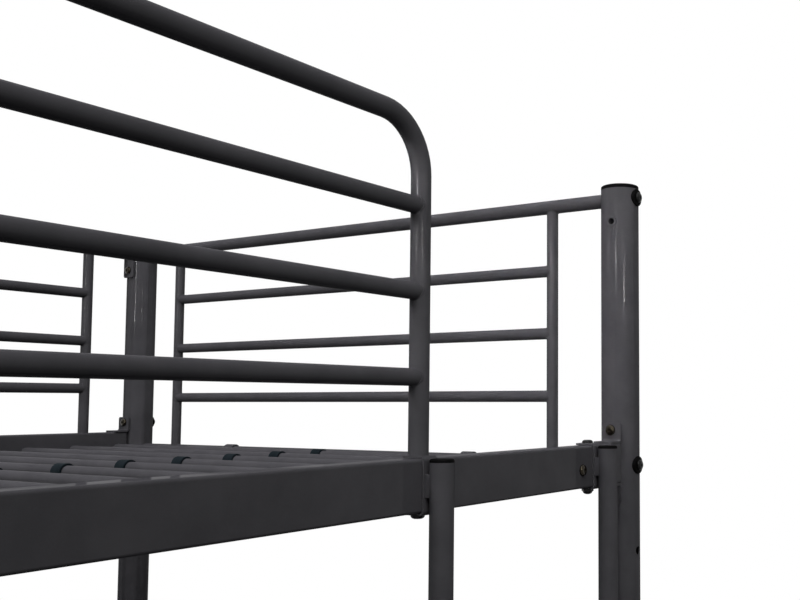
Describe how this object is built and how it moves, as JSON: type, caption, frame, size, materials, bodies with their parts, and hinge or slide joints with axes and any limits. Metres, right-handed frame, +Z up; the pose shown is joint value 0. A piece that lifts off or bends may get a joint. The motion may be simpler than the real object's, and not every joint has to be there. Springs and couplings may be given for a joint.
{
  "type": "bunk bed",
  "caption": "Steel tube bunk bed with round posts, barred end panels, guard rails, slatted decks and a bolted ladder.",
  "frame": {"origin": "on the floor, under the middle of the whole bed's box", "axes": "+X along the bed towards the ladder end, +Y from the ladder side to the back, +Z up"},
  "size_m": [1.9988, 1.0666, 1.6519],
  "materials": {
    "black_plastic": "moulded black plastic, satin",
    "blackened_steel": "black oxide, semi-gloss",
    "bronzed_steel": "dark bronze plated screws",
    "clip_plastic": "dark blue-grey moulded plastic",
    "powder_coat": "anthracite powder coat, satin",
    "zinc_steel": "zinc plated, hidden inside tubes"
  },
  "bodies": {
    "root": {"end_panel_lower_left": "powder_coat", "end_panel_lower_right": "powder_coat", "end_panel_upper_left": "powder_coat", "end_panel_upper_right": "powder_coat", "guard_back": "powder_coat", "guard_foot_bolts": "blackened_steel", "guard_foot_plugs": "zinc_steel", "guard_front_bars": "powder_coat", "guard_front_loop": "powder_coat", "ladder_caps": "black_plastic", "ladder_feet": "black_plastic", "ladder_rung_1": "powder_coat", "ladder_rung_2": "powder_coat", "ladder_rung_3": "powder_coat", "ladder_rung_4": "powder_coat", "ladder_stile_left": "powder_coat", "ladder_stile_right": "powder_coat", "ladder_strap_bolt": "blackened_steel", "ladder_strap_left": "powder_coat", "ladder_strap_nut": "blackened_steel", "ladder_strap_right": "powder_coat", "panel_bolt_washers": "blackened_steel", "panel_bolts": "blackened_steel", "post_cap_back_left": "black_plastic", "post_cap_back_right": "black_plastic", "post_cap_front_left": "black_plastic", "post_cap_front_right": "black_plastic", "post_couplers": "zinc_steel", "post_foot_back_left": "black_plastic", "post_foot_back_right": "black_plastic", "post_foot_front_left": "black_plastic", "post_foot_front_right": "black_plastic", "post_inserts": "powder_coat", "post_lower_back_left": "powder_coat", "post_lower_back_right": "powder_coat", "post_lower_front_left": "powder_coat", "post_lower_front_right": "powder_coat", "post_upper_back_left": "powder_coat", "post_upper_back_right": "powder_coat", "post_upper_front_left": "powder_coat", "post_upper_front_right": "powder_coat", "rail_bolts": "bronzed_steel", "rail_cap_nuts": "blackened_steel", "rail_nut_washers": "blackened_steel", "side_rail_lower_back": "powder_coat", "side_rail_lower_front": "powder_coat", "side_rail_upper_back": "powder_coat", "side_rail_upper_front": "powder_coat", "slat_clips_lower": "clip_plastic", "slat_clips_upper": "clip_plastic", "slat_spine_lower": "powder_coat", "slat_spine_upper": "powder_coat", "slat_tie_screws": "bronzed_steel", "slats_lower": "powder_coat", "slats_upper": "powder_coat", "support_bar_lower_back": "powder_coat", "support_bar_lower_front": "powder_coat", "support_bar_upper_back": "powder_coat", "support_bar_upper_front": "powder_coat", "thread_inserts": "zinc_steel"}
  },
  "joints": []
}
